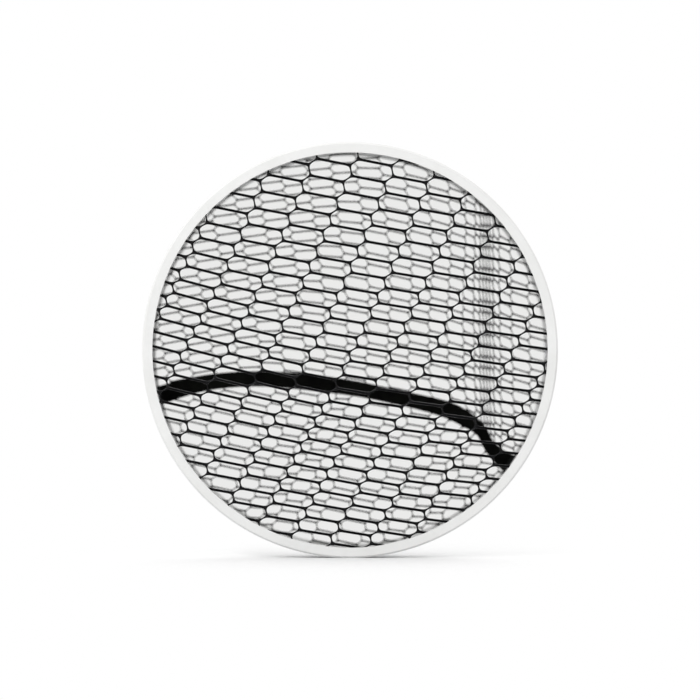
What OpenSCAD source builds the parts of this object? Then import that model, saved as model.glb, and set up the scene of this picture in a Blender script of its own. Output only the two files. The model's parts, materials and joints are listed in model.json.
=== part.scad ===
// Round honeycomb grid for a studio light.
//
// The optical axis is Y: the front net faces -Y and the light arrives from +Y. The
// origin is on that axis, in the plane where the body's stop flange meets the
// reflector's rim. Z is up. The hinge is on the left (-X), the latch on the right (+X).
//
// Every part is drawn from the split plane between the front frame and the body,
// where the hinge axis lies, and from_split() then moves it to the origin.

/* [Rims] */
// Outside radius of the front frame and of the body's stop flange
rim_r = 85; // [84:0.5:90]
// Radial width of the front frame's face
face_w = 4.2; // [4:0.1:5]
// Thickness of the front frame's face
face_t = 2.4; // [2.2:0.1:3]
// Outside radius of the body's band, which slides into a reflector
seat_r = 83.4; // [83.2:0.1:83.6]
// Sheet thickness of the band
band_t = 1.0; // [0.8:0.1:1.2]
// Depth of the body from the split plane to its rear face
body_depth = 16; // [16:0.5:20]
// Thickness of the stop flange that rests on the reflector's rim
stop_t = 2.6; // [2.4:0.1:3]

/* [Front net] */
// Distance between neighbouring columns of cells, along X
front_pitch_x = 15.25; // [14:0.05:17]
// Height of one cell along Z, where the net neither sags nor bends
front_pitch_z = 6.3; // [6:0.02:7]
// Fall of the net from one column to the next
front_fall = 3.54; // [3:0.02:4]
// Sideways lean of each half-row below the one above it
front_lean = 1.42; // [1:0.01:2]
// How far the net's middle rows are drawn up by its sag
front_sag = 7.86; // [6:0.02:9]
// Width of one strand; two lie side by side along a cell's long edges
front_strand = 0.54; // [0.4:0.02:0.8]
// Depth of the front net along the optical axis
front_depth = 1.2; // [0.8:0.1:1.2]

/* [Rear net] */
// Distance between neighbouring columns of cells, along X, before any cloth is taken up
rear_pitch_x = 9.9; // [9:0.05:14]
// Height of one cell, along Z
rear_pitch_z = 4.26; // [4:0.02:6]
// Width of one strand
rear_strand = 0.3; // [0.24:0.02:0.4]
// Depth of the rear net along the optical axis
rear_depth = 1.0; // [0.6:0.1:1.2]
// Where the gather runs in the upper panel, along X
gather_x = 56.3; // [40:0.1:65]
// Width of cloth taken up on each side of the upper panel's gather
gather_take = 35.8; // [20:0.1:40]

/* [Seam strap] */
// Width of the strap along its middle
strap_w = 6.1; // [5:0.1:8]
// Extra width at the strap's two ends
strap_flare = 1.8; // [0:0.1:3]
// Thickness of the strap
strap_t = 1.7; // [1.2:0.1:2]

/* [Hinge and latch] */
// Distance of the hinge axis from the grid's axis
hinge_x = 83; // [82.8:0.1:83.2]
// Radius of the hinge knuckles
knuckle_r = 1.4; // [1.2:0.05:1.45]
// Radius of the hinge pin
pin_r = 0.55; // [0.5:0.05:0.6]
// Travel of the latch slider
latch_travel = 5; // [4:0.5:5]

/* [Turn clips] */
// Number of turn clips on the rear flange
clip_count = 3; // [3]
// Length of each turn clip from its pivot
clip_l = 6.6; // [5:0.2:7]
// Width of each turn clip
clip_w = 3.0; // [2.6:0.1:3]

/* [Hidden] */

$fn = 96;
cut = 0.1;                 // overshoot of a cutting solid past the face it cuts
running = 0.05;            // clearance of a turning fit
strand_gap = 0.03;         // glue line between two strands

face_in = rim_r - face_w;  // inside radius of the front frame
band_in = seat_r - band_t; // inside radius of the band
flange_in = band_in - 1.8; // inside radius of the rear flange
flange_t = 1.2;            // thickness of the rear flange
face_bevel = 0.7;          // bevel round the front frame's outer edge
lip_t = 0.8;               // thickness of the front frame's spigot lip
lip_l = 5;                 // length of the spigot lip
net_y = -face_t + 0.5;     // the front net lies in a groove behind the front frame's edge
net_r = face_in + 0.6;

carrier_t = 1.9;
carrier_y = body_depth - flange_t - carrier_t;
carrier_in = band_in - 2.2;
rear_y = carrier_y - rear_depth;
gasket_in = seat_r + 0.6;
gasket_out = rim_r - 0.3;
gasket_t = 0.6;            // the gasket is drawn pressed flush with the flange
rear_r = band_in - 1;      // the rear net and strap end here, inside the snap ring
snap_groove = 0.35;        // how deep the snap ring's groove is cut in the band

hinge_half = 8;            // half the length of the hinge along Z
knuckle_half = 2.8;        // half the length of the front knuckle
knuckle_gap = 0.2;         // end play between knuckles
pocket_half = hinge_half + 1;
cover_t = 0.8;             // what is left of the front frame in front of the hinge
relief_half = 19.5;        // the front frame swings past the band inside this height
relief_y = 2.9;
leaf_x = hinge_x - 1.05;   // outer face of the hinge leaf
leaf_t = 0.6;
leaf_l = 9;

latch_y = 6;               // front edge of the slider's plate
latch_h = 2.2;             // width of the slider's plate
slider_x = face_in;        // inner face of the slider
slider_t = 0.5;
slider_z = 3.4;            // distance of the open slider's end from the striker's middle
slider_l = 9.4;
thumb_l = 3.4;             // length of the thumb pad
thumb_y = 0.15;
thumb_t = 1.45;
latch_pin_z = 6;
latch_pin_r = 0.6;
striker_half = 3;

clip_y = body_depth + 0.2; // front face of a turn clip, behind its washer
clip_t = 0.8;
clip_pin_r = 0.6;
clip_pivot_r = band_in - 0.8;
clip_first = 30;           // angle of the first clip's pivot, from +X

// ---------- helpers ----------

// From the split plane, where parts are drawn, to the seat plane
module from_split() translate([0, -stop_t, 0]) children();

// A ring about the optical axis between two radii, from y0 to y1
module ring(r_in, r_out, y0, y1) {
  rotate([-90, 0, 0]) translate([0, 0, y0]) difference() {
    cylinder(r = r_out, h = y1 - y0);
    translate([0, 0, -cut]) cylinder(r = r_in, h = y1 - y0 + 2 * cut);
  }
}

// A ring about the optical axis with a bevel round its front outer edge
module bevelled_ring(r_in, r_out, y0, y1, bevel) {
  rotate([-90, 0, 0]) rotate_extrude()
    polygon([[r_in, y0], [r_out - bevel, y0], [r_out, y0 + bevel], [r_out, y1], [r_in, y1]]);
}

// A solid disc about the optical axis
module disc(r, y0, y1) {
  rotate([-90, 0, 0]) translate([0, 0, y0]) cylinder(r = r, h = y1 - y0);
}

// A box given by two corners
module span(a, b) {
  translate(a) cube(b - a);
}

// The latch is drawn above the striker and used below it: its slider moves up to lock
module below() mirror([0, 0, 1]) children();

// A plate drawn in the XZ plane and extruded from y0 to y1
module plate(y0, y1) {
  translate([0, y1, 0]) rotate([90, 0, 0]) linear_extrude(height = y1 - y0) children();
}

// A round bar along X
module bar_x(r, x0, x1, y, z, sides = 32) {
  translate([x0, y, z]) rotate([0, 90, 0]) cylinder(r = r, h = x1 - x0, $fn = sides);
}

// A round bar along Y
module bar_y(r, y0, y1, x, z, sides = 32) {
  translate([x, y0, z]) rotate([-90, 0, 0]) cylinder(r = r, h = y1 - y0, $fn = sides);
}

function unit(v) = v / norm(v);
function normal(a, b) = let (d = unit(b - a)) [-d[1], d[0]];

// Offset of point k of a path, mitred so that the width stays constant at a bend unless
// the bend is very sharp
function mitre(p, k, d) =
  let (
    last = len(p) - 1,
    n0 = normal(p[max(k - 1, 0)], p[max(k, 1)]),
    n1 = normal(p[min(k, last - 1)], p[min(k + 1, last)]),
    n = unit(n0 + n1)
  )
  p[k] + n * d / max(n * n1, 0.5);

// Outline of a path with a half width at each point
function ribbon(p, half) = concat(
  [for (k = [0 : len(p) - 1]) mitre(p, k, half[k])],
  [for (k = [len(p) - 1 : -1 : 0]) mitre(p, k, -half[k])]
);

// ---------- nets ----------
// A net is a honeycomb of strands. Column u and half-row v count from the net's
// centre, and a cell sits wherever u + v is even. Along a cell's long edge two
// strands lie side by side, and each short edge is a single strand.

long_half = 0.425;  // half of a long edge, as a share of the column pitch
kink = 0.07;        // how far a long edge's ends turn towards each other, in half-rows

function tanh(t) = let (e = exp(2 * t)) (e - 1) / (e + 1);

// Place of a point of the front net. The rows are widest apart at the top. The sag draws
// the middle rows together, and a bend runs across them, down to the right.
front_at = [0.2, 15.8];
front_narrow = 0.027;  // how much narrower each column gets than the one on its left
front_fan = 0.0135;    // how much narrower the columns get with each half-row down
front_bow = 0.03;
front_twist = 0.048;   // how much less a row falls than the half-row above it
front_bend = 0.279;
function front_point(u, v) = [
  front_at[0] + (front_pitch_x - front_narrow * u - front_fan * v) * u - front_lean * v,
  front_at[1] - front_pitch_z / 2 * v - (front_fall - front_bow * u - front_twist * v) * u
    + front_bend * norm([v - 9.5 - 3.2 * u, 5.4])
    + front_sag * tanh((v - 8.6 - 0.78 * u) / 16.3)
];

// Cloth taken up between the gather and a point that lay at distance w from it. At the
// gather the cloth is packed to an eighth of its width; far from it, it lies flat.
gather_pack = 0.87;
function taken(w) = gather_pack * w / pow(1 + pow(gather_pack * w / gather_take, 4), 0.25);

// Place along X of a point of the upper panel before the gather is taken up. A slack
// tuck draws its middle columns together.
upper_x = 3.5;
upper_lean = 0.27;   // sideways lean of each half-row below the one above it
upper_fan = 0.014;   // how much wider the columns get with each half-row upwards
tuck = 3.5;
function upper_flat(u, v) =
  upper_x + (rear_pitch_x - upper_fan * v) * u + upper_lean * v
    - tuck * tanh((u + 0.32 + 0.29 * v) / 2.5);

// The upper panel's rows rise, bend over and fall. The bend lies further left in the
// lower rows, and the rows spread to the left.
upper_z = 7.2;
upper_rows = 0.99;   // height of the upper panel's rows, as a share of rear_pitch_z
upper_grow = 0.0019; // how much higher the rows get with each mm to the left
function upper_drop(flat, v) = 0.043 * flat + 0.203 * norm([flat + 30.4 + 1.245 * v, 13.9]);

function upper_point(u, v) =
  let (
    flat = upper_flat(u, v),
    w = flat - gather_x - gather_take,
    x = gather_x + w - taken(w)
  )
  [x, upper_z - (upper_rows * rear_pitch_z / 2 - upper_grow * x) * v - upper_drop(flat, v)];

// The lower panel falls evenly to the right but for two soft folds that draw its
// columns together and lift them
lower_at = [-9.2, -35];
lower_lean = 0.865;  // sideways lean of each half-row to the left of the one above it
lower_rows = 1.024;
lower_fall = 2.76;   // fall of the lower panel from one column to the next
fold_lift = 0.6;
function lower_fold(u, v) =
  6.4 * tanh((u + 1.66 + 0.042 * v) / 1.65) + 10.3 * tanh((u - 5.79 - 0.012 * v) / 2.66);

function lower_point(u, v) =
  lower_at + [
    rear_pitch_x * u - lower_lean * v - lower_fold(u, v),
    fold_lift * lower_fold(u, v) - lower_fall * u - lower_rows * rear_pitch_z / 2 * v
  ];

function place(net, u, v) =
  net == "front" ? front_point(u, v) : net == "upper" ? upper_point(u, v) : lower_point(u, v);

// The strand that runs between half-rows k and k + 1 takes the long edge of half-row k in
// one column and that of half-row k + 1 in the next, each time on the side towards the
// other. Columns outside the rim are left out.
function strand_path(net, k, columns, shift) = [
  for (u = [-columns : columns])
    let (
      low = (u + k) % 2 == 0,
      v = low ? k + 1 : k,
      a = place(net, u - long_half, v + kink),
      b = place(net, u + long_half, v - kink),
      aside = normal(a, b) * (low ? shift : -shift)
    )
    if (norm(place(net, u, v)) < net_reach) each [a + aside, b + aside]
];
net_reach = rim_r + 8;  // a cell whose middle lies beyond this doesn't reach the net's edge

module strand(net, k, columns, width) {
  path = strand_path(net, k, columns, (width + strand_gap) / 2);
  if (len(path) > 2) polygon(ribbon(path, [for (p = path) width / 2]));
}

// ---------- seam strap ----------

// The strap's centre line, from the left rim to the lower right rim
strap_line = [
  [-87.4, -22.3], [-79.8, -19.2], [-60.8, -13.8], [-39.9, -11.9], [-19, -13.1], [2, -15.9],
  [22.8, -20.2], [39, -24.3], [48.3, -28.8], [54, -33.3], [56.5, -37.8], [59.5, -42.1],
  [67, -47.8], [74, -51.8]
];

// A smooth curve through the middle points of p, in n steps per stretch
function smooth(p, n) = concat(
  [for (k = [1 : len(p) - 3]) for (s = [0 : n - 1]) let (t = s / n)
    0.5 * (2 * p[k] + (p[k + 1] - p[k - 1]) * t
      + (2 * p[k - 1] - 5 * p[k] + 4 * p[k + 1] - p[k + 2]) * t * t
      + (3 * p[k] - p[k - 1] - 3 * p[k + 1] + p[k + 2]) * t * t * t)],
  [p[len(p) - 2]]
);

strap_path = smooth(strap_line, 4);

// A swelling of a given size about a place along X
function swell(x, at, reach, size) = size * exp(-pow((x - at) / reach, 2));

// The strap is widest at its ends, swells a little in the middle and before it turns
// down on the right, and is narrow where it turns
function strap_half(x) =
  strap_w / 2 + strap_flare / 2 * (exp(-(x + 80) / 17) + exp((x - 65) / 5))
    + swell(x, -16, 19, 0.3) + swell(x, 42, 11, 0.4) - swell(x, 56, 5, 1.0);

strap_outline = ribbon(strap_path, [for (p = strap_path) strap_half(p[0])]);

// Everything on one side of the strap's centre line, as far as the nets reach
module strap_side(up) {
  far = up ? 2 * rim_r : -2 * rim_r;
  polygon(concat(
    [[-2 * rim_r, strap_path[0][1]]], strap_path, [[2 * rim_r, strap_path[len(strap_path) - 1][1]]],
    [[2 * rim_r, far], [-2 * rim_r, far]]
  ));
}

// ---------- body ----------

module body_ring() color("gainsboro") from_split() difference() {
  union() {
    ring(band_in, rim_r, 0, stop_t);
    ring(band_in, seat_r, 0, body_depth);
    ring(flange_in, band_in + cut, body_depth - flange_t, body_depth);
  }
  // groove for the gasket
  difference() {
    ring(gasket_in, gasket_out, stop_t - gasket_t, stop_t + cut);
    gasket_gap();
  }
  // groove for the snap ring
  ring(rear_r, band_in + snap_groove, rear_y - running, carrier_y + running);
  // room for the front frame's edge, which swings back past the hinge axis
  span([-rim_r - 1, -cut, -relief_half], [-hinge_x + 1.3, relief_y, relief_half]);
  // open slot for the thumb pad
  below() span([face_in, -cut, slider_z + slider_l - thumb_l - latch_travel - 0.5],
               [rim_r + 1, thumb_y + thumb_t + 0.2, slider_z + slider_l + 0.5]);
  for (side = [-1, 1]) bar_x(0.72, -seat_r - 1, -leaf_x, 6, side * 5);
  below() bar_x(latch_pin_r, band_in - 1, seat_r + 1, latch_y + latch_h / 2, latch_pin_z);
  for (k = [1 : clip_count])
    at_clip(k) bar_y(clip_pin_r, body_depth - flange_t - cut, body_depth + cut, 0, 0);
}

// Soft ring let into the back of the stop flange
module seat_gasket() color("dimgray") from_split() difference() {
  ring(gasket_in, gasket_out, stop_t - gasket_t, stop_t);
  gasket_gap();
}

// The gasket stops short of the relief at the hinge
module gasket_gap() {
  span([-rim_r - 1, 0, -relief_half - 1], [-hinge_x + 2, stop_t + 1, relief_half + 1]);
}

module net_carrier() color("gainsboro") from_split() difference() {
  ring(carrier_in, band_in - 0.1, carrier_y, carrier_y + carrier_t);
  strap_rivet_holes();
}

// Split wire ring that holds the carrier in the band
module snap_ring() color("silver") from_split() difference() {
  ring(rear_r + 0.1, band_in + snap_groove - running, rear_y, carrier_y);
  span([-4, rear_y - cut, -rim_r], [4, carrier_y + cut, -rear_r + 10]);
}

module rear_net(net, up) {
  rows = ceil(2 * rim_r / rear_pitch_z) + 22;
  columns = ceil((rim_r + 2 * gather_take) / rear_pitch_x) + 2;
  intersection() {
    disc(rear_r, rear_y, carrier_y);
    plate(rear_y - cut, carrier_y + cut) difference() {
      intersection() {
        for (k = [-rows : rows]) strand(net, k, columns, rear_strand);
        strap_side(up);
      }
      polygon(strap_outline);
    }
  }
}

module rear_net_upper() color("black") from_split() rear_net("upper", true);
module rear_net_lower() color("black") from_split() rear_net("lower", false);

module seam_strap() color("black") from_split() difference() {
  intersection() {
    disc(rear_r, carrier_y - strap_t, carrier_y);
    plate(carrier_y - strap_t, carrier_y) polygon(strap_outline);
  }
  strap_rivet_holes();
}

// Angles of the strap's two ends about the grid's axis
strap_ends = [193.5, -35.5];
plate_t = 0.5;
rivet_spread = 1.7;  // angle from an end's middle to each rivet
rivet_ring = carrier_in + 0.65;
rivet_r = 0.45;

module at_strap_rivets() {
  for (a = strap_ends) for (side = [-1, 1]) rotate([0, -a - side * rivet_spread, 0])
    translate([rivet_ring, 0, 0]) children();
}

module strap_rivet_holes() {
  at_strap_rivets() bar_y(rivet_r, carrier_y - strap_t - 1, carrier_y + carrier_t + cut, 0, 0, 24);
}

// Curved plates that clamp the strap's ends to the carrier
module strap_plates() color("black") from_split() difference() {
  for (a = strap_ends) rotate([0, -a, 0]) intersection() {
    ring(carrier_in - 0.3, rear_r, carrier_y - strap_t - plate_t, carrier_y - strap_t);
    span([0, 0, -3.6], [rim_r, body_depth, 3.6]);
  }
  strap_rivet_holes();
}

module strap_rivets() color("black") from_split() at_strap_rivets() {
  bar_y(rivet_r, carrier_y - strap_t - plate_t - 0.3, carrier_y + carrier_t, 0, 0, 24);
  bar_y(0.75, carrier_y - strap_t - plate_t - 0.3, carrier_y - strap_t - plate_t, 0, 0, 24);
}

// A round bar on the hinge axis
module bar_hinge(r, z0, z1) {
  translate([-hinge_x, 0, z0]) cylinder(r = r, h = z1 - z0, $fn = 48);
}

// Leaf on the inside of the band, with the two outer knuckles
module hinge_leaf() color("silver") from_split() {
  difference() {
    union() {
      for (side = [-1, 1]) {
        z0 = side > 0 ? knuckle_half + knuckle_gap : -hinge_half;
        bar_hinge(knuckle_r, z0, z0 + hinge_half - knuckle_half - knuckle_gap);
      }
      span([-leaf_x, 0.2, -hinge_half], [-leaf_x + leaf_t, leaf_l, hinge_half]);
    }
    bar_hinge(pin_r + running, -hinge_half - cut, hinge_half + cut);
    span([-leaf_x - cut, -cut, -knuckle_half - knuckle_gap],
         [-leaf_x + leaf_t + cut, 2.2, knuckle_half + knuckle_gap]);
    for (side = [-1, 1]) bar_x(0.72, -leaf_x - cut, -leaf_x + leaf_t + cut, 6, side * 5);
  }
}

module hinge_rivets() color("silver") from_split() for (side = [-1, 1]) {
  bar_x(0.7, -seat_r + 0.15, -leaf_x + leaf_t, 6, side * 5);
  bar_x(1.25, -leaf_x + leaf_t, -leaf_x + leaf_t + 0.4, 6, side * 5);
}

module hinge_pin() color("silver") from_split() bar_hinge(pin_r, -hinge_half - 0.3, hinge_half + 0.3);

// Shouldered pin that the latch slider runs on
module latch_pin() color("silver") from_split() below() {
  y = latch_y + latch_h / 2;
  bar_x(1.05, slider_x - running - 0.5, slider_x - running, y, latch_pin_z);
  bar_x(latch_pin_r, slider_x - running, slider_x + slider_t + running, y, latch_pin_z);
  bar_x(1.0, slider_x + slider_t + running, band_in - 0.3, y, latch_pin_z);
  bar_x(latch_pin_r - 0.02, band_in - 0.3, seat_r - 0.15, y, latch_pin_z);
}

// ---------- turn clips ----------

module at_clip(k) {
  rotate([0, -clip_first - (k - 1) * 360 / clip_count, 0]) translate([clip_pivot_r, 0, 0]) children();
}

module clip_washers() color("silver") from_split() for (k = [1 : clip_count]) at_clip(k) difference() {
  bar_y(1.4, body_depth, clip_y - running, 0, 0);
  bar_y(clip_pin_r + running, body_depth - cut, clip_y + cut, 0, 0);
}

module clip_pins() color("silver") from_split() for (k = [1 : clip_count]) at_clip(k) {
  bar_y(clip_pin_r - 0.01, body_depth - flange_t, clip_y + clip_t + 0.05, 0, 0);
  bar_y(1.2, clip_y + clip_t + 0.05, clip_y + clip_t + 0.55, 0, 0);
}

// A clip lies along the flange until it is turned out behind the reflector's lip
module turn_clip(k) color("silver") from_split() at_clip(k) difference() {
  union() {
    bar_y(clip_w / 2, clip_y, clip_y + clip_t, 0, 0);
    span([-clip_w / 2, clip_y, -clip_l + 1], [clip_w / 2, clip_y + clip_t, 0]);
    bar_y(clip_w / 2, clip_y, clip_y + clip_t, 0, -clip_l + clip_w / 2);
  }
  bar_y(clip_pin_r + running, clip_y - cut, clip_y + clip_t + cut, 0, 0);
}

module turn_clip_1() turn_clip(1);
module turn_clip_2() turn_clip(2);
module turn_clip_3() turn_clip(3);

// ---------- front frame ----------

module front_ring() color("whitesmoke") from_split() difference() {
  union() {
    bevelled_ring(face_in, rim_r, -face_t, 0, face_bevel);
    ring(face_in, face_in + lip_t, -cut, lip_l);
  }
  // groove that holds the front net
  ring(face_in - cut, net_r + running, net_y - running, net_y + front_depth);
  // pocket for the hinge knuckles, behind a thin cover
  span([-rim_r - 1, -face_t + cover_t, -pocket_half], [-hinge_x + 3, lip_l + cut, pocket_half]);
  // gap in the lip for the latch slider's arm
  below() span([face_in - 3, 0, striker_half + 1.2], [rim_r, lip_l + cut, slider_z + slider_l + 1.5]);
  bar_x(0.62, face_in - 2, face_in + lip_t + 1, 2.6, 0);
}

module front_net() color("black") from_split() {
  rows = ceil(2 * rim_r / front_pitch_z) + 8;
  intersection() {
    disc(net_r, net_y, net_y + front_depth);
    plate(net_y - cut, net_y + front_depth + cut)
      for (k = [-rows : rows]) strand("front", k, ceil(rim_r / front_pitch_x) + 2, front_strand);
  }
}

// Knuckle brazed to the back of the front frame's hinge cover
module hinge_knuckle() color("silver") from_split() difference() {
  union() {
    bar_hinge(knuckle_r, -knuckle_half, knuckle_half);
    span([-hinge_x - knuckle_r, -face_t + cover_t, -knuckle_half], [-hinge_x + knuckle_r, 0, knuckle_half]);
  }
  bar_hinge(pin_r + running, -knuckle_half - cut, knuckle_half + cut);
}

striker_x = face_in - 0.8;  // inner face of the striker's plate
striker_t = 0.7;
foot_y = latch_y + latch_h + 0.2;

// Hooked plate on the inside of the lip, which the slider holds down
module latch_striker() color("silver") from_split() difference() {
  union() {
    span([striker_x, 0.6, -striker_half], [striker_x + striker_t, foot_y + 0.8, striker_half]);
    span([striker_x, foot_y, -striker_half], [face_in + 1.1, foot_y + 0.8, striker_half]);
  }
  bar_x(0.62, striker_x - cut, striker_x + striker_t + cut, 2.6, 0);
}

module striker_rivet() color("silver") from_split() {
  bar_x(0.6, striker_x, face_in + lip_t, 2.6, 0);
  bar_x(1.1, striker_x - 0.4, striker_x, 2.6, 0);
}

// ---------- latch ----------

module latch_slider() color("gray") from_split() below() difference() {
  z1 = slider_z + slider_l;
  union() {
    span([slider_x, latch_y, slider_z], [slider_x + slider_t, latch_y + latch_h, z1]);
    span([slider_x, thumb_y, z1 - thumb_l], [slider_x + slider_t, latch_y + cut, z1]);
    span([slider_x, thumb_y, z1 - thumb_l], [rim_r - 1.1, thumb_y + thumb_t, z1]);
  }
  // slot that runs on the pin
  y = latch_y + latch_h / 2;
  r = latch_pin_r + running;
  for (z = [0, latch_travel]) bar_x(r, slider_x - cut, slider_x + slider_t + cut, y, latch_pin_z + z);
  span([slider_x - cut, y - r, latch_pin_z], [slider_x + slider_t + cut, y + r, latch_pin_z + latch_travel]);
}

// ---------- what is drawn ----------

body_ring();
seat_gasket();
net_carrier();
snap_ring();
rear_net_upper();
rear_net_lower();
seam_strap();
strap_plates();
strap_rivets();
hinge_leaf();
hinge_rivets();
hinge_pin();
latch_pin();
clip_washers();
clip_pins();
front_ring();
front_net();
hinge_knuckle();
latch_striker();
striker_rivet();
latch_slider();
turn_clip_1();
turn_clip_2();
turn_clip_3();
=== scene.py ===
import json
import math

import bmesh
import bpy
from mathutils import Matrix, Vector

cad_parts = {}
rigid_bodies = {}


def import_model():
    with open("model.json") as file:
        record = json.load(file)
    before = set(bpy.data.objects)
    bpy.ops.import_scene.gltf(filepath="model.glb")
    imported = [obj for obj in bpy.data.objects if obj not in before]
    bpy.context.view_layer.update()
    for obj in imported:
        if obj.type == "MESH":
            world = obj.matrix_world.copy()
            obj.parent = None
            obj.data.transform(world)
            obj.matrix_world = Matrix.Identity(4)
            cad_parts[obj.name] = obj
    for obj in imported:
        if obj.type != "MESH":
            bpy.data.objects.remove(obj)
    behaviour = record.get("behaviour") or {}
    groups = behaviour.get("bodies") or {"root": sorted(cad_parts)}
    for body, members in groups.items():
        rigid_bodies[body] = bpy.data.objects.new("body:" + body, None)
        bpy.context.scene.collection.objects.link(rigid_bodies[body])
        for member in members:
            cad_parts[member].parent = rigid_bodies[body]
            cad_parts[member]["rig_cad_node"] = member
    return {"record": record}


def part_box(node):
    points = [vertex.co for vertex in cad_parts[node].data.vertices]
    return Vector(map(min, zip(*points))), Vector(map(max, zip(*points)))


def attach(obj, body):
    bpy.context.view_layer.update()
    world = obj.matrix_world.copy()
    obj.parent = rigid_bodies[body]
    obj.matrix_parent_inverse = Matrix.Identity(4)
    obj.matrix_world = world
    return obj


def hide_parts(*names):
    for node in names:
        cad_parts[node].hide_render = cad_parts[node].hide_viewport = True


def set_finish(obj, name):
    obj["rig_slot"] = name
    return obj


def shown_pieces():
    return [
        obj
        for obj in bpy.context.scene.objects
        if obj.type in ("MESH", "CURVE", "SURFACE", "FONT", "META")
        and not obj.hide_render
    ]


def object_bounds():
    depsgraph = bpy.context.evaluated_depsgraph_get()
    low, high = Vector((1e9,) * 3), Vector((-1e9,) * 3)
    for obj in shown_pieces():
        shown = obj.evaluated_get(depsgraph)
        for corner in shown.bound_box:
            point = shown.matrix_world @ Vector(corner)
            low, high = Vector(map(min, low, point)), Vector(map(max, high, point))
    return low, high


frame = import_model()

# Looks of the round honeycomb grid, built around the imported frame. The grid stands upright with
# its optical axis along Y and its front net towards -Y. The two nets and the seam strap are
# rebuilt here as round, coated strands and a woven strap; every other piece is the CAD part with
# a finish of its own. Plane shapes are worked out in millimetres in the XZ plane, as (x, z), and
# turned into metres when a mesh is made.

cad_low, cad_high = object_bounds()

MM = 0.001


def mm_box(node):
    """Lowest and highest corner of a CAD node, in millimetres."""
    low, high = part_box(node)
    return low / MM, high / MM


# ---------------------------------------------------------------- net layout
# Column u and half-row v count from a net's centre; a cell sits wherever u + v is even.

LONG_HALF = 0.425  # half of a long edge, as a share of the column pitch
KINK = 0.07        # how far a long edge's ends turn towards each other, in half-rows

# The names and values below are the ones that part.scad uses for the same nets.

FRONT_AT = (0.2, 15.8)
FRONT_PITCH_X, FRONT_PITCH_Z = 15.25, 6.3
FRONT_NARROW = 0.027  # how much narrower each column gets than the one on its left
FRONT_FAN = 0.0135    # how much narrower the columns get with each half-row down
FRONT_FALL = 3.54     # fall from one column to the next
FRONT_BOW = 0.03      # how much less each column falls than the one on its left
FRONT_TWIST = 0.048   # how much less a row falls than the half-row above it
FRONT_LEAN = 1.42     # sideways lean of each half-row below the one above it
FRONT_BEND = 0.279    # strength of the bend that runs down to the right
FRONT_SAG = 7.86      # how far the middle rows are drawn up

REAR_PITCH_X, REAR_PITCH_Z = 9.9, 4.26
GATHER_X = 56.3       # where the gather runs in the upper panel
GATHER_TAKE = 35.8    # width of cloth taken up on each side of it
GATHER_PACK = 0.87    # share of the cloth's width that is lost in its middle

UPPER_X, UPPER_Z = 3.5, 7.2
UPPER_LEAN = 0.27
UPPER_FAN = 0.014     # how much wider the columns get with each half-row upwards
UPPER_ROWS = 0.99     # height of the rows, as a share of the rear pitch
UPPER_GROW = 0.0019   # how much higher the rows get with each mm to the left
TUCK = 3.5            # how far a slack tuck draws the middle columns together

LOWER_X, LOWER_Z = -9.2, -35
LOWER_LEAN = 0.865
LOWER_ROWS = 1.024
LOWER_FALL = 2.76
FOLD_LIFT = 0.6       # how far a fold lifts the rows, as a share of what it takes up


def front_point(u, v):
    """The front net: rows that fall to the right, drawn together by a sag and crossed by a bend."""
    x = FRONT_AT[0] + (FRONT_PITCH_X - FRONT_NARROW * u - FRONT_FAN * v) * u - FRONT_LEAN * v
    fall = (FRONT_FALL - FRONT_BOW * u - FRONT_TWIST * v) * u
    bend = FRONT_BEND * math.hypot(v - 9.5 - 3.2 * u, 5.4)
    sag = FRONT_SAG * math.tanh((v - 8.6 - 0.78 * u) / 16.3)
    return Vector((x, FRONT_AT[1] - FRONT_PITCH_Z / 2 * v - fall + bend + sag))


def taken(w):
    """Cloth taken up between the gather and a point that lay at distance w from it."""
    return GATHER_PACK * w / (1 + (GATHER_PACK * w / GATHER_TAKE) ** 4) ** 0.25


def upper_point(u, v):
    """The upper panel: rows that rise, bend over and fall, taken up at the gather."""
    tuck = TUCK * math.tanh((u + 0.32 + 0.29 * v) / 2.5)
    flat = UPPER_X + (REAR_PITCH_X - UPPER_FAN * v) * u + UPPER_LEAN * v - tuck
    w = flat - GATHER_X - GATHER_TAKE
    x = GATHER_X + w - taken(w)
    rows = (UPPER_ROWS * REAR_PITCH_Z / 2 - UPPER_GROW * x) * v
    drop = 0.043 * flat + 0.203 * math.hypot(flat + 30.4 + 1.245 * v, 13.9)
    return Vector((x, UPPER_Z - rows - drop))


def lower_point(u, v):
    """The lower panel: an even fall to the right but for two soft folds."""
    fold = 6.4 * math.tanh((u + 1.66 + 0.042 * v) / 1.65) + 10.3 * math.tanh((u - 5.79 - 0.012 * v) / 2.66)
    x = LOWER_X + REAR_PITCH_X * u - LOWER_LEAN * v - fold
    return Vector((x, LOWER_Z + FOLD_LIFT * fold - LOWER_FALL * u - LOWER_ROWS * REAR_PITCH_Z / 2 * v))


def cell_corners(u, v):
    """The six corners of cell (u, v), clockwise from its top left one."""
    return [
        (u - LONG_HALF, v - 1 + KINK),
        (u + LONG_HALF, v - 1 - KINK),
        (u + 1 - LONG_HALF, v + KINK),
        (u + LONG_HALF, v + 1 - KINK),
        (u - LONG_HALF, v + 1 + KINK),
        (u - 1 + LONG_HALF, v - KINK),
    ]


LONG_EDGES = (0, 3)  # the edges of cell_corners() along which two strands lie side by side


# ---------------------------------------------------------------- net meshes

SHORTEST = 0.12  # least length of a hole's edge, as a share of its cell's edge
JOINING = 0.12   # share of a long edge along which its two strands come apart or together


def smooth_step(t):
    t = min(max(t, 0.0), 1.0)
    return t * t * (3 - 2 * t)


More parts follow.
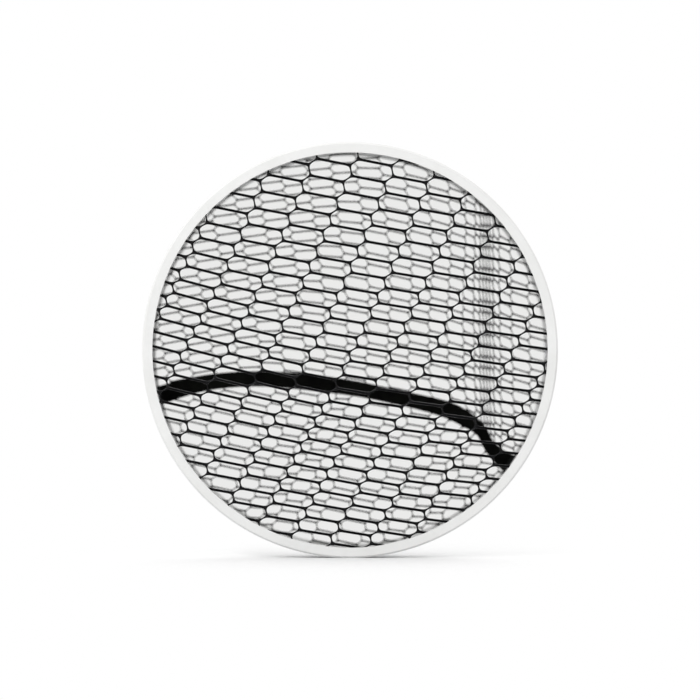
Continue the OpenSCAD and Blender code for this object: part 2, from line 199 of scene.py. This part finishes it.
def hole(corners, half_widths):
    """Corners of the hole that is left when each edge of a cell is as wide as its strand.
    Where the cloth is packed too tightly for that, the strands are squeezed."""
    while True:
        inset = inset_corners(corners, half_widths)
        edges = [(corners[i - 1], corners[i], inset[i - 1], inset[i]) for i in range(len(corners))]
        if all((q - p).dot(b - a) > SHORTEST * (b - a).length_squared for a, b, p, q in edges):
            return inset
        half_widths = [0.85 * width for width in half_widths]


def inset_corners(corners, half_widths):
    """Corners of a polygon whose edges are moved inwards."""
    count = len(corners)
    lines = []
    for i in range(count):
        a, b = corners[i], corners[(i + 1) % count]
        along = (b - a).normalized()
        lines.append((a + Vector((along.y, -along.x)) * half_widths[i], along))
    inset = []
    for i in range(count):
        (p, d), (q, e) = lines[i - 1], lines[i]
        cross = d.x * e.y - d.y * e.x
        t = ((q.x - p.x) * e.y - (q.y - p.y) * e.x) / cross
        inset.append(p + d * t)
    return inset


def rounded_point(inset, i, share, radius):
    """Point of a hole's outline at a share of edge i, with the corners rounded off."""
    count = len(inset)
    a, b = inset[i], inset[(i + 1) % count]
    length = (b - a).length
    along = (b - a) / length

    def trim(k):
        before = (inset[k % count] - inset[(k - 1) % count]).length
        after = (inset[(k + 1) % count] - inset[k % count]).length
        return min(radius, 0.47 * before, 0.47 * after)

    def corner(k, t, cut):
        k %= count
        into = (inset[k] - inset[k - 1]).normalized()
        out = (inset[(k + 1) % count] - inset[k]).normalized()
        start, end = inset[k] - into * cut, inset[k] + out * cut
        return start * (1 - t) ** 2 + inset[k] * 2 * t * (1 - t) + end * t * t

    distance = share * length
    first, last = trim(i), trim(i + 1)
    if distance < first:
        return corner(i, 0.5 + 0.5 * distance / first, first)
    if distance > length - last:
        return corner(i + 1, 0.5 * (distance - length + last) / last, last)
    return a + along * distance


def strand_height(level, doubled):
    """Height of a strand's surface from its middle (level 0) to its edge (level 1)."""
    single = math.sqrt(1 - level * level)
    half = 0.56 if level < 0.5 else 0.5  # two strands side by side leave a crease at level 0
    double = math.sqrt(max(0.0, 1 - ((level - 0.5) / half) ** 2))
    return single * (1 - doubled) + double * doubled


def shares(steps):
    """Shares of an edge, closer together towards its ends."""
    return [0.5 - 0.5 * math.cos(math.pi * k / steps) for k in range(steps)]


def net_mesh(name, place, cells, middle_y, size, steps, levels):
    """A closed mesh of all cells' strands. size holds the half widths of a long and a short edge,
    the half depth and the rounding radius, in mm; steps the divisions of a long and a short edge."""
    half_long, half_short, half_depth, radius = size
    vertices, faces, shared, rim = [], [], {}, {}

    def add(point, y):
        vertices.append((point.x * MM, (middle_y + y) * MM, point.y * MM))
        return len(vertices) - 1

    def add_shared(key, point, y):
        if key not in shared:
            shared[key] = add(point, y)
        return shared[key]

    for u, v in cells:
        marks = cell_corners(u, v)
        corners = [place(*mark) for mark in marks]
        widths = [half_long if i in LONG_EDGES else half_short for i in range(6)]
        inset = hole(corners, widths)
        columns = []
        for i in range(6):
            a, b = corners[i], corners[(i + 1) % 6]
            is_long = i in LONG_EDGES
            for share in shares(steps[0] if is_long else steps[1]):
                middle = a.lerp(b, share)
                key = tuple(round(p + (q - p) * share, 6) for p, q in zip(marks[i], marks[(i + 1) % 6]))
                edge = rounded_point(inset, i, share, radius)
                apart = smooth_step(share / JOINING) * smooth_step((1 - share) / JOINING)
                doubled = apart if is_long else 0
                y = half_depth * strand_height(0, doubled)
                front = [add_shared((key, "front"), middle, -y)]
                back = [add_shared((key, "back"), middle, y)]
                for level in levels[1:-1]:
                    y = half_depth * strand_height(level, doubled)
                    point = middle.lerp(edge, level)
                    front.append(add(point, -y))
                    back.append(add(point, y))
                end = add(edge, 0)
                columns.append((front + [end], back + [end]))
        for m, (front, back) in enumerate(columns):
            next_front, next_back = columns[(m + 1) % len(columns)]
            for k in range(len(levels) - 1):
                faces.append((front[k], front[k + 1], next_front[k + 1], next_front[k]))
                faces.append((next_back[k], next_back[k + 1], back[k + 1], back[k]))
            pair = (min(front[0], next_front[0]), max(front[0], next_front[0]))
            if pair in rim:
                rim[pair] = None
            else:
                rim[pair] = (front[0], next_front[0], next_back[0], back[0])
    faces += [quad for quad in rim.values() if quad]
    mesh = bpy.data.meshes.new(name)
    mesh.from_pydata(vertices, [], faces)
    return mesh


def cells_within(place, reach, columns, rows):
    """Cells that reach into a circle."""
    return [
        (u, v)
        for u in range(-columns, columns + 1)
        for v in range(-rows, rows + 1)
        if (u + v) % 2 == 0 and min(place(*mark).length for mark in cell_corners(u, v)) < reach
    ]


def add_object(name, mesh):
    piece = bpy.data.objects.new(name, mesh)
    bpy.context.scene.collection.objects.link(piece)
    return piece


def prism(name, outline, y0, y1):
    """A closed prism along Y on an outline of (x, z) points in mm."""
    mesh = bpy.data.meshes.new(name)
    count = len(outline)
    vertices = [(p[0] * MM, y * MM, p[1] * MM) for y in (y0, y1) for p in outline]
    faces = [(k, (k + 1) % count, count + (k + 1) % count, count + k) for k in range(count)]
    faces += [tuple(reversed(range(count))), tuple(range(count, 2 * count))]
    mesh.from_pydata(vertices, [], faces)
    fix_normals(mesh)
    return add_object(name, mesh)


def fix_normals(mesh):
    work = bmesh.new()
    work.from_mesh(mesh)
    bmesh.ops.recalc_face_normals(work, faces=work.faces)
    work.to_mesh(mesh)
    work.free()


def apply_modifiers(piece):
    graph = bpy.context.evaluated_depsgraph_get()
    mesh = bpy.data.meshes.new_from_object(piece.evaluated_get(graph))
    piece.modifiers.clear()
    piece.data = mesh


def keep_inside(piece, cutter):
    """Trims a closed piece to what lies inside a closed cutter."""
    trim = piece.modifiers.new("trim", "BOOLEAN")
    trim.operation = "INTERSECT"
    trim.solver = "MANIFOLD"
    trim.object = cutter
    apply_modifiers(piece)
    bpy.data.objects.remove(cutter)


def smooth(piece, angle=35):
    piece.data.shade_smooth()
    piece.data.set_sharp_from_angle(angle=math.radians(angle))


CIRCLE = [2 * math.pi * k / 360 for k in range(360)]


def circle(radius):
    return [(radius * math.cos(a), radius * math.sin(a)) for a in CIRCLE]


# ---------------------------------------------------------------- nets

FRONT_LOW, FRONT_HIGH = mm_box("front_net")
REAR_LOW, REAR_HIGH = mm_box("rear_net_upper")
STRAP_LOW, STRAP_HIGH = mm_box("seam_strap")
FRONT_R = FRONT_HIGH.x
REAR_R = -REAR_LOW.x

# half widths of a long and a short edge, and the radius that rounds off a cell's corners
FRONT_STRANDS = (0.55, 0.31, 1.3)
REAR_STRANDS = (0.33, 0.19, 0.76)


def net(name, place, cells, box, size, steps, levels, cutter):
    """A net in the box of its CAD node, trimmed to what lies inside the cutter."""
    low, high = box
    half_long, half_short, radius = size
    strand = (half_long, half_short, (high.y - low.y) / 2, radius)
    mesh = net_mesh(name, place, cells, (low.y + high.y) / 2, strand, steps, levels)
    piece = add_object(name, mesh)
    fix_normals(mesh)
    keep_inside(piece, cutter)
    smooth(piece)
    return piece


front_net = net(
    "front_net_strands", front_point, cells_within(front_point, FRONT_R, 8, 40), (FRONT_LOW, FRONT_HIGH),
    FRONT_STRANDS, (10, 5), (0, 0.25, 0.5, 0.75, 0.93, 1),
    prism("front_cut", circle(FRONT_R), FRONT_LOW.y - 1, FRONT_HIGH.y + 1),
)
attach(front_net, "front_frame")
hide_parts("front_net")
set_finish(front_net, "front_net")

# ---------------------------------------------------------------- seam strap

STRAP_LINE = [
    (-87.4, -22.3), (-79.8, -19.2), (-60.8, -13.8), (-39.9, -11.9), (-19, -13.1), (2, -15.9),
    (22.8, -20.2), (39, -24.3), (48.3, -28.8), (54, -33.3), (56.5, -37.8), (59.5, -42.1),
    (67, -47.8), (74, -51.8),
]
STRAP_W = 6.1
SEAM = 0.4       # how far the nets' edges reach into the strap, where they are sewn down
RIB = 0.7        # spacing of the warp ribs across the strap
PICK = 0.8       # spacing of the weft along the strap
RELIEF = 0.09    # height of the weave
WARPS = 37       # points across each face of the strap
BUNCHED = 0.35   # how far those points are drawn towards the strap's rounded edges


def through(points, steps):
    """A smooth curve through all points of a list but the first and the last."""
    curve = []
    for k in range(1, len(points) - 2):
        p0, p1, p2, p3 = (Vector(points[k + d]) for d in (-1, 0, 1, 2))
        for s in range(steps):
            t = s / steps
            curve.append(0.5 * (2 * p1 + (p2 - p0) * t + (2 * p0 - 5 * p1 + 4 * p2 - p3) * t * t
                                + (3 * p1 - p0 - 3 * p2 + p3) * t ** 3))
    return curve + [Vector(points[-2])]


def swell(x, at, reach, size):
    """A soft bump of a given size about one place along X."""
    return size * math.exp(-((x - at) / reach) ** 2)


def strap_half(x):
    """Half the strap's width as it is seen from the front."""
    flare = 0.9 * (math.exp(-(x + 80) / 17) + math.exp((x - 65) / 5))
    return STRAP_W / 2 + flare + swell(x, -16, 19, 0.3) + swell(x, 42, 11, 0.4) - swell(x, 56, 5, 1.0)


def strap_roll(x):
    """How far the strap turns about its own length, in radians: it leans over where it turns down."""
    return swell(x, 55.6, 4.8, math.radians(34))


def across(curve):
    """Unit vectors across a curve, on its upper side."""
    sides = []
    for k in range(len(curve)):
        along = (curve[min(k + 1, len(curve) - 1)] - curve[max(k - 1, 0)]).normalized()
        sides.append(Vector((-along.y, along.x)))
    return sides


def strap_offsets():
    """Places across the strap, from -1 to 1 and a little closer together towards its edges."""
    offsets = []
    for k in range(WARPS):
        share = k / (WARPS - 1)
        offsets.append(BUNCHED * -math.cos(math.pi * share) + (1 - BUNCHED) * (2 * share - 1))
    return offsets


def build_strap():
    """A flat tape of warp ribs crossed by a weft, with rounded edges."""
    curve = through(STRAP_LINE, 110)
    sides = across(curve)
    half_t = (STRAP_HIGH.y - STRAP_LOW.y) / 2
    middle_y = (STRAP_HIGH.y + STRAP_LOW.y) / 2
    offsets = strap_offsets()
    vertices, faces, length = [], [], 0
    for k, (centre, side) in enumerate(zip(curve, sides)):
        if k:
            length += (centre - curve[k - 1]).length
        roll = strap_roll(centre.x)
        half = strap_half(centre.x) / math.cos(roll)
        loop = []
        for face in (1, -1):
            for a in offsets if face > 0 else offsets[-2:0:-1]:
                edge = math.sqrt(max(0.0, 1 - abs(a) ** 8))
                warp = math.cos(2 * math.pi * a * STRAP_W / 2 / RIB)
                weft = math.cos(2 * math.pi * length / PICK + (math.pi if warp > 0 else 0) + face)
                dip = RELIEF * (0.5 - 0.5 * abs(warp) * weft) + RELIEF * (1 - abs(warp))
                loop.append((a * half, face * (half_t * edge - min(dip, half_t) * edge)))
        for a, b in loop:
            place = centre + side * (a * math.cos(roll) - b * math.sin(roll))
            y = middle_y + a * math.sin(roll) + b * math.cos(roll)
            vertices.append((place.x * MM, y * MM, place.y * MM))
    ring = 2 * WARPS - 2
    for k in range(len(curve) - 1):
        for m in range(ring):
            n = (m + 1) % ring
            faces.append((k * ring + m, k * ring + n, (k + 1) * ring + n, (k + 1) * ring + m))
    faces.append(tuple(range(ring)))
    faces.append(tuple(reversed(range((len(curve) - 1) * ring, len(curve) * ring))))
    mesh = bpy.data.meshes.new("strap_tape")
    mesh.from_pydata(vertices, [], faces)
    fix_normals(mesh)
    piece = add_object("strap_tape", mesh)
    keep_inside(piece, prism("strap_cut", circle(REAR_R), STRAP_LOW.y - 5, STRAP_HIGH.y + 5))
    return piece


strap = build_strap()
smooth(strap, 60)
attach(strap, "body")
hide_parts("seam_strap")
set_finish(strap, "strap")


def strap_edge(up):
    """The strap's upper or lower edge inside the rear net's circle, moved in by the seam."""
    curve = through(STRAP_LINE, 24)
    sign = 1 if up else -1
    edge = [c + s * sign * (strap_half(c.x) - SEAM) for c, s in zip(curve, across(curve))]
    return [p for p in edge if p.length < REAR_R - 0.05]


def panel_outline(up):
    """Outline of the part of the rear net's circle above or below the strap."""
    edge = strap_edge(up)
    start = math.atan2(edge[-1].y, edge[-1].x)
    end = math.atan2(edge[0].y, edge[0].x)
    if up:
        while end < start:
            end += 2 * math.pi
    else:
        while end > start:
            end -= 2 * math.pi
    arc = [start + (end - start) * k / 300 for k in range(301)]
    return [tuple(p) for p in edge] + [(REAR_R * math.cos(a), REAR_R * math.sin(a)) for a in arc]


for name, place, up in (("upper", upper_point, True), ("lower", lower_point, False)):
    piece = net(
        "rear_net_%s_strands" % name, place, cells_within(place, REAR_R, 20, 64), (REAR_LOW, REAR_HIGH),
        REAR_STRANDS, (6, 3), (0, 0.3, 0.6, 0.87, 1),
        prism("rear_cut", panel_outline(up), REAR_LOW.y - 1, REAR_HIGH.y + 1),
    )
    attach(piece, "body")
    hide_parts("rear_net_%s" % name)
    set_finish(piece, "rear_net")

# ---------------------------------------------------------------- finishes


class Finish:
    """A node-built material in object coordinates, with its wear mixed in step by step."""

    def __init__(self, name, colour, rough, metal=0.0):
        self.material = bpy.data.materials.new(name)
        self.material.use_nodes = True
        self.tree = self.material.node_tree
        self.shader = self.tree.nodes["Principled BSDF"]
        self.shader.inputs["Base Color"].default_value = (*colour, 1)
        self.shader.inputs["Metallic"].default_value = metal
        self.shader.inputs["Roughness"].default_value = rough
        self.colour = (*colour, 1)
        self.place = self.add("ShaderNodeTexCoord").outputs["Object"]

    def add(self, kind, **values):
        node = self.tree.nodes.new(kind)
        for key, value in values.items():
            setattr(node, key, value)
        return node

    def link(self, a, b):
        self.tree.links.new(a, b)

    def stretched(self, scale):
        node = self.add("ShaderNodeMapping")
        node.inputs["Scale"].default_value = scale
        self.link(self.place, node.inputs["Vector"])
        return node.outputs["Vector"]

    def noise(self, scale, detail=4, stretch=None):
        node = self.add("ShaderNodeTexNoise")
        node.inputs["Scale"].default_value = scale
        node.inputs["Detail"].default_value = detail
        self.link(self.stretched(stretch) if stretch else self.place, node.inputs["Vector"])
        return node.outputs["Fac"]

    def ranged(self, value, low, high, start=0.35, end=0.65):
        node = self.add("ShaderNodeMapRange")
        for key, number in (("From Min", start), ("From Max", end), ("To Min", low), ("To Max", high)):
            node.inputs[key].default_value = number
        self.link(value, node.inputs["Value"])
        return node.outputs["Result"]

    def vary_colour(self, value, other, start=0.35, end=0.65):
        node = self.add("ShaderNodeMix", data_type="RGBA")
        factor, a, b = node.inputs[0], node.inputs[6], node.inputs[7]
        self.link(self.ranged(value, 0, 1, start, end), factor)
        a.default_value = self.colour
        b.default_value = (*other, 1)
        self.link(node.outputs[2], self.shader.inputs["Base Color"])

    def vary_rough(self, value, low, high):
        self.link(self.ranged(value, low, high), self.shader.inputs["Roughness"])

    def bump(self, value, height, strength=1.0):
        node = self.add("ShaderNodeBump")
        node.inputs["Distance"].default_value = height
        node.inputs["Strength"].default_value = strength
        self.link(value, node.inputs["Height"])
        self.link(node.outputs["Normal"], self.shader.inputs["Normal"])

    def give(self, *pieces):
        for piece in pieces:
            piece.data.materials.clear()
            piece.data.materials.append(self.material)


def powder_coat():
    finish = Finish("white_powder_coat", (0.82, 0.82, 0.81), 0.42)
    finish.vary_colour(finish.noise(60), (0.78, 0.78, 0.765))
    finish.vary_rough(finish.noise(300), 0.36, 0.5)
    finish.bump(finish.noise(2200, 2), 0.00004, 0.5)
    return finish


def brushed_steel():
    finish = Finish("satin_steel", (0.55, 0.55, 0.56), 0.3, 1.0)
    grain = finish.noise(900, 3, (1, 1, 14))
    finish.vary_colour(finish.noise(240), (0.46, 0.46, 0.47))
    finish.vary_rough(grain, 0.24, 0.42)
    finish.bump(grain, 0.00001, 0.6)
    return finish


def rubber():
    finish = Finish("gasket_rubber", (0.2, 0.2, 0.197), 0.75)
    finish.vary_colour(finish.noise(500), (0.15, 0.15, 0.148))
    finish.vary_rough(finish.noise(900), 0.65, 0.85)
    finish.bump(finish.noise(3000, 3), 0.00003, 0.6)
    return finish


def black_coat(name, colour, low, high):
    finish = Finish(name, colour, low)
    finish.shader.inputs["Specular IOR Level"].default_value = 0.15
    finish.vary_colour(finish.noise(700), tuple(1.8 * c for c in colour))
    finish.vary_rough(finish.noise(1400), low, high)
    finish.bump(finish.noise(2600, 2), 0.00004, 0.35)
    return finish


def woven_tape():
    finish = Finish("woven_tape", (0.0014, 0.0014, 0.0013), 0.8)
    finish.shader.inputs["Specular IOR Level"].default_value = 0.04
    finish.vary_colour(finish.noise(160), (0.0036, 0.004, 0.0032))
    finish.vary_rough(finish.noise(1200), 0.7, 0.9)
    finish.bump(finish.noise(4000, 4), 0.00006, 0.7)
    return finish


FINISHES = {
    "white_frame": powder_coat(),
    "steel": brushed_steel(),
    "gasket": rubber(),
    "front_net": black_coat("front_coating", (0.002, 0.002, 0.0024), 0.16, 0.26),
    "rear_net": black_coat("rear_coating", (0.006, 0.0065, 0.007), 0.35, 0.5),
    "strap": woven_tape(),
    "clamp": black_coat("clamp_coating", (0.003, 0.003, 0.0033), 0.4, 0.55),
}
SLOTS = {part["node"]: part["material_slot"] for part in frame["record"]["subparts"]}
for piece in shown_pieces():
    slot = piece.get("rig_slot") or SLOTS[piece["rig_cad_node"]]
    FINISHES[slot].give(piece)
    if "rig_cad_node" in piece:
        piece.data.shade_smooth()
        piece.data.set_sharp_from_angle(angle=math.radians(28))

# ---------------------------------------------------------------- stage

VIEW_DISTANCE = 1.5895  # from the front net to the camera, along -Y
F_STOP = 1.5
FRONT = Vector((0, FRONT_LOW.y * MM, 0))
FLOOR_Z = cad_low.z
FLOOR_R, FLOOR_T = 3000, 5                # in millimetres, like the card's sizes below
FADE_START, FADE_END = 0.01, 0.12         # where the floor's shadows fade into the surroundings
# the card of painted shade: its gap behind the grid, its inset from the frame's outer edge and its
# thickness
CARD_GAP, CARD_INSET, CARD_T = 12, 1.4, 1
AMBIENT = 0.9
WHITE = (1, 1, 1)                         # surroundings and far floor, seen from straight in front
AROUND = (0.76, 0.765, 0.77)              # the same from any other side
PAPER = (0.9, 0.9, 0.9)                   # floor, seen from straight in front
PAPER_ASIDE = (0.66, 0.665, 0.67)         # the same from any other side
PAINTED_SHADE_TONE = (0.83, 0.83, 0.822)              # the card behind the nets, glowing with painted shade: the darker pool that the grid would leave on a backdrop


def stage_material(name):
    material = bpy.data.materials.new(name)
    material.use_nodes = True
    return material, material.node_tree


def node_in(tree, kind, **inputs):
    node = tree.nodes.new(kind)
    for key, value in inputs.items():
        node.inputs[key.replace("_", " ")].default_value = value
    return node


def product(tree, *values):
    """The product of several shader values."""
    total = values[0]
    for value in values[1:]:
        node = tree.nodes.new("ShaderNodeMath")
        node.operation = "MULTIPLY"
        tree.links.new(total, node.inputs[0])
        tree.links.new(value, node.inputs[1])
        total = node.outputs[0]
    return total


def show(tree, output, factor, first, second):
    """Makes a mix of two shaders the surface of a material or a world."""
    mix = tree.nodes.new("ShaderNodeMixShader")
    for value, socket in zip((factor, first, second), mix.inputs):
        tree.links.new(value, socket)
    tree.links.new(mix.outputs[0], tree.nodes[output].inputs["Surface"])


def straight_on(tree, direction, sign):
    """1 where the view runs along the optical axis from the front, 0 for a view from elsewhere."""
    along = tree.nodes.new("ShaderNodeVectorMath")
    along.operation = "DOT_PRODUCT"
    along.inputs[1].default_value = (0, sign, 0)
    tree.links.new(direction, along.inputs[0])
    straight = node_in(tree, "ShaderNodeMapRange", From_Min=0.97, From_Max=0.985)
    tree.links.new(along.outputs["Value"], straight.inputs["Value"])
    return straight.outputs["Result"]


def by_view(tree, straight, front_colour, other_colour):
    """One colour for a view from straight in front, another for any other view."""
    mix = tree.nodes.new("ShaderNodeMix")
    mix.data_type = "RGBA"
    factor, other, front = mix.inputs[0], mix.inputs[6], mix.inputs[7]
    tree.links.new(straight, factor)
    other.default_value = (*other_colour, 1)
    front.default_value = (*front_colour, 1)
    return mix.outputs[2]


def build_world():
    """The surroundings as the camera sees them, and a softer white that lights the grid."""
    world = bpy.data.worlds.new("studio")
    bpy.context.scene.world = world
    world.use_nodes = True
    tree = world.node_tree
    seen = tree.nodes["Background"]
    straight = straight_on(tree, tree.nodes.new("ShaderNodeTexCoord").outputs["Generated"], 1)
    tree.links.new(by_view(tree, straight, WHITE, AROUND), seen.inputs["Color"])
    lit = node_in(tree, "ShaderNodeBackground", Color=(1, 1, 1, 1), Strength=AMBIENT)
    ray = tree.nodes.new("ShaderNodeLightPath").outputs["Is Camera Ray"]
    show(tree, "World Output", ray, lit.outputs[0], seen.outputs[0])


def build_painted_shade_card():
    """A round card behind the grid that glows with painted shade, the darker pool that the grid would
    leave on a backdrop, and shows only to a camera straight in front.
    """
    y = cad_high.y / MM + CARD_GAP
    card = prism("painted_shade_card", circle(cad_high.x / MM - CARD_INSET), y, y + CARD_T)
    material, tree = stage_material("painted_shade_glow")
    tree.nodes.remove(tree.nodes["Principled BSDF"])
    # the card glows with a painted shade, darker than the white surroundings, in place of the grid's
    # shadow on a backdrop
    seen = node_in(tree, "ShaderNodeEmission", Color=(*PAINTED_SHADE_TONE, 1))
    clear = tree.nodes.new("ShaderNodeBsdfTransparent")
    straight = straight_on(tree, tree.nodes.new("ShaderNodeNewGeometry").outputs["Incoming"], -1)
    ray = tree.nodes.new("ShaderNodeLightPath").outputs["Is Camera Ray"]
    shown = product(tree, straight, ray)
    show(tree, "Material Output", shown, clear.outputs[0], seen.outputs[0])
    card.data.materials.append(material)


def build_floor():
    """A pale floor that fades into the surroundings a little way from the grid."""
    floor = prism("floor", circle(FLOOR_R), -FLOOR_T, 0)
    for vertex in floor.data.vertices:
        x, y, z = vertex.co
        vertex.co = (x, z, y + FLOOR_Z)
    fix_normals(floor.data)
    material, tree = stage_material("pale_floor")
    paper = tree.nodes["Principled BSDF"]
    paper.inputs["Roughness"].default_value = 0.9
    far = tree.nodes.new("ShaderNodeEmission")
    straight = straight_on(tree, tree.nodes.new("ShaderNodeNewGeometry").outputs["Incoming"], -1)
    tree.links.new(by_view(tree, straight, WHITE, AROUND), far.inputs["Color"])
    tree.links.new(by_view(tree, straight, PAPER, PAPER_ASIDE), paper.inputs["Base Color"])
    away = tree.nodes.new("ShaderNodeVectorMath")
    away.operation = "DISTANCE"
    away.inputs[1].default_value = (0, 0, FLOOR_Z)
    tree.links.new(tree.nodes.new("ShaderNodeTexCoord").outputs["Object"], away.inputs[0])
    fade = node_in(tree, "ShaderNodeMapRange", From_Min=FADE_START, From_Max=FADE_END)
    fade.interpolation_type = "SMOOTHSTEP"
    tree.links.new(away.outputs["Value"], fade.inputs["Value"])
    ray = tree.nodes.new("ShaderNodeLightPath").outputs["Is Camera Ray"]
    shown = product(tree, fade.outputs["Result"], ray)
    show(tree, "Material Output", shown, paper.outputs[0], far.outputs[0])
    floor.data.materials.append(material)


def add_light(name, place, size, watts):
    data = bpy.data.lights.new(name, "AREA")
    data.size = size
    data.energy = watts
    light = bpy.data.objects.new(name, data)
    light.location = place
    light.rotation_mode = "QUATERNION"
    light.rotation_quaternion = (-Vector(place)).to_track_quat("-Z", "Y")
    bpy.context.scene.collection.objects.link(light)


def build_camera():
    data = bpy.data.cameras.new("camera")
    data.lens, data.sensor_width = 200, 36
    camera = bpy.data.objects.new("camera", data)
    camera.location = FRONT - Vector((0, VIEW_DISTANCE, 0))
    camera.rotation_euler = (math.radians(90), 0, 0)
    data.clip_start, data.clip_end = 0.1, 20
    scene = bpy.context.scene
    scene.collection.objects.link(camera)
    scene.camera = camera
    focus = bpy.data.objects.new("focus", None)
    focus.location = FRONT
    station = bpy.data.objects.new("camera_station", None)
    station.location = camera.location
    for empty in (focus, station):
        scene.collection.objects.link(empty)
    data.dof.use_dof = True
    data.dof.focus_object = focus
    # the lens is wide open at its own station, and stopped right down once the camera moves away
    curve = data.driver_add("dof.aperture_fstop")
    curve.driver.type = "SUM"
    moved = curve.driver.variables.new()
    moved.type = "LOC_DIFF"
    moved.targets[0].id, moved.targets[1].id = camera, station
    shape = curve.modifiers[0] if curve.modifiers else curve.modifiers.new("GENERATOR")
    shape.coefficients = (F_STOP, 1000)


build_world()
build_floor()
build_painted_shade_card()
add_light("key", (-0.9, -1.3, 1.2), 0.35, 13)
add_light("back", (0.4, 1.2, 1.0), 1.0, 6)
build_camera()
bpy.context.scene.view_settings.view_transform = "Standard"
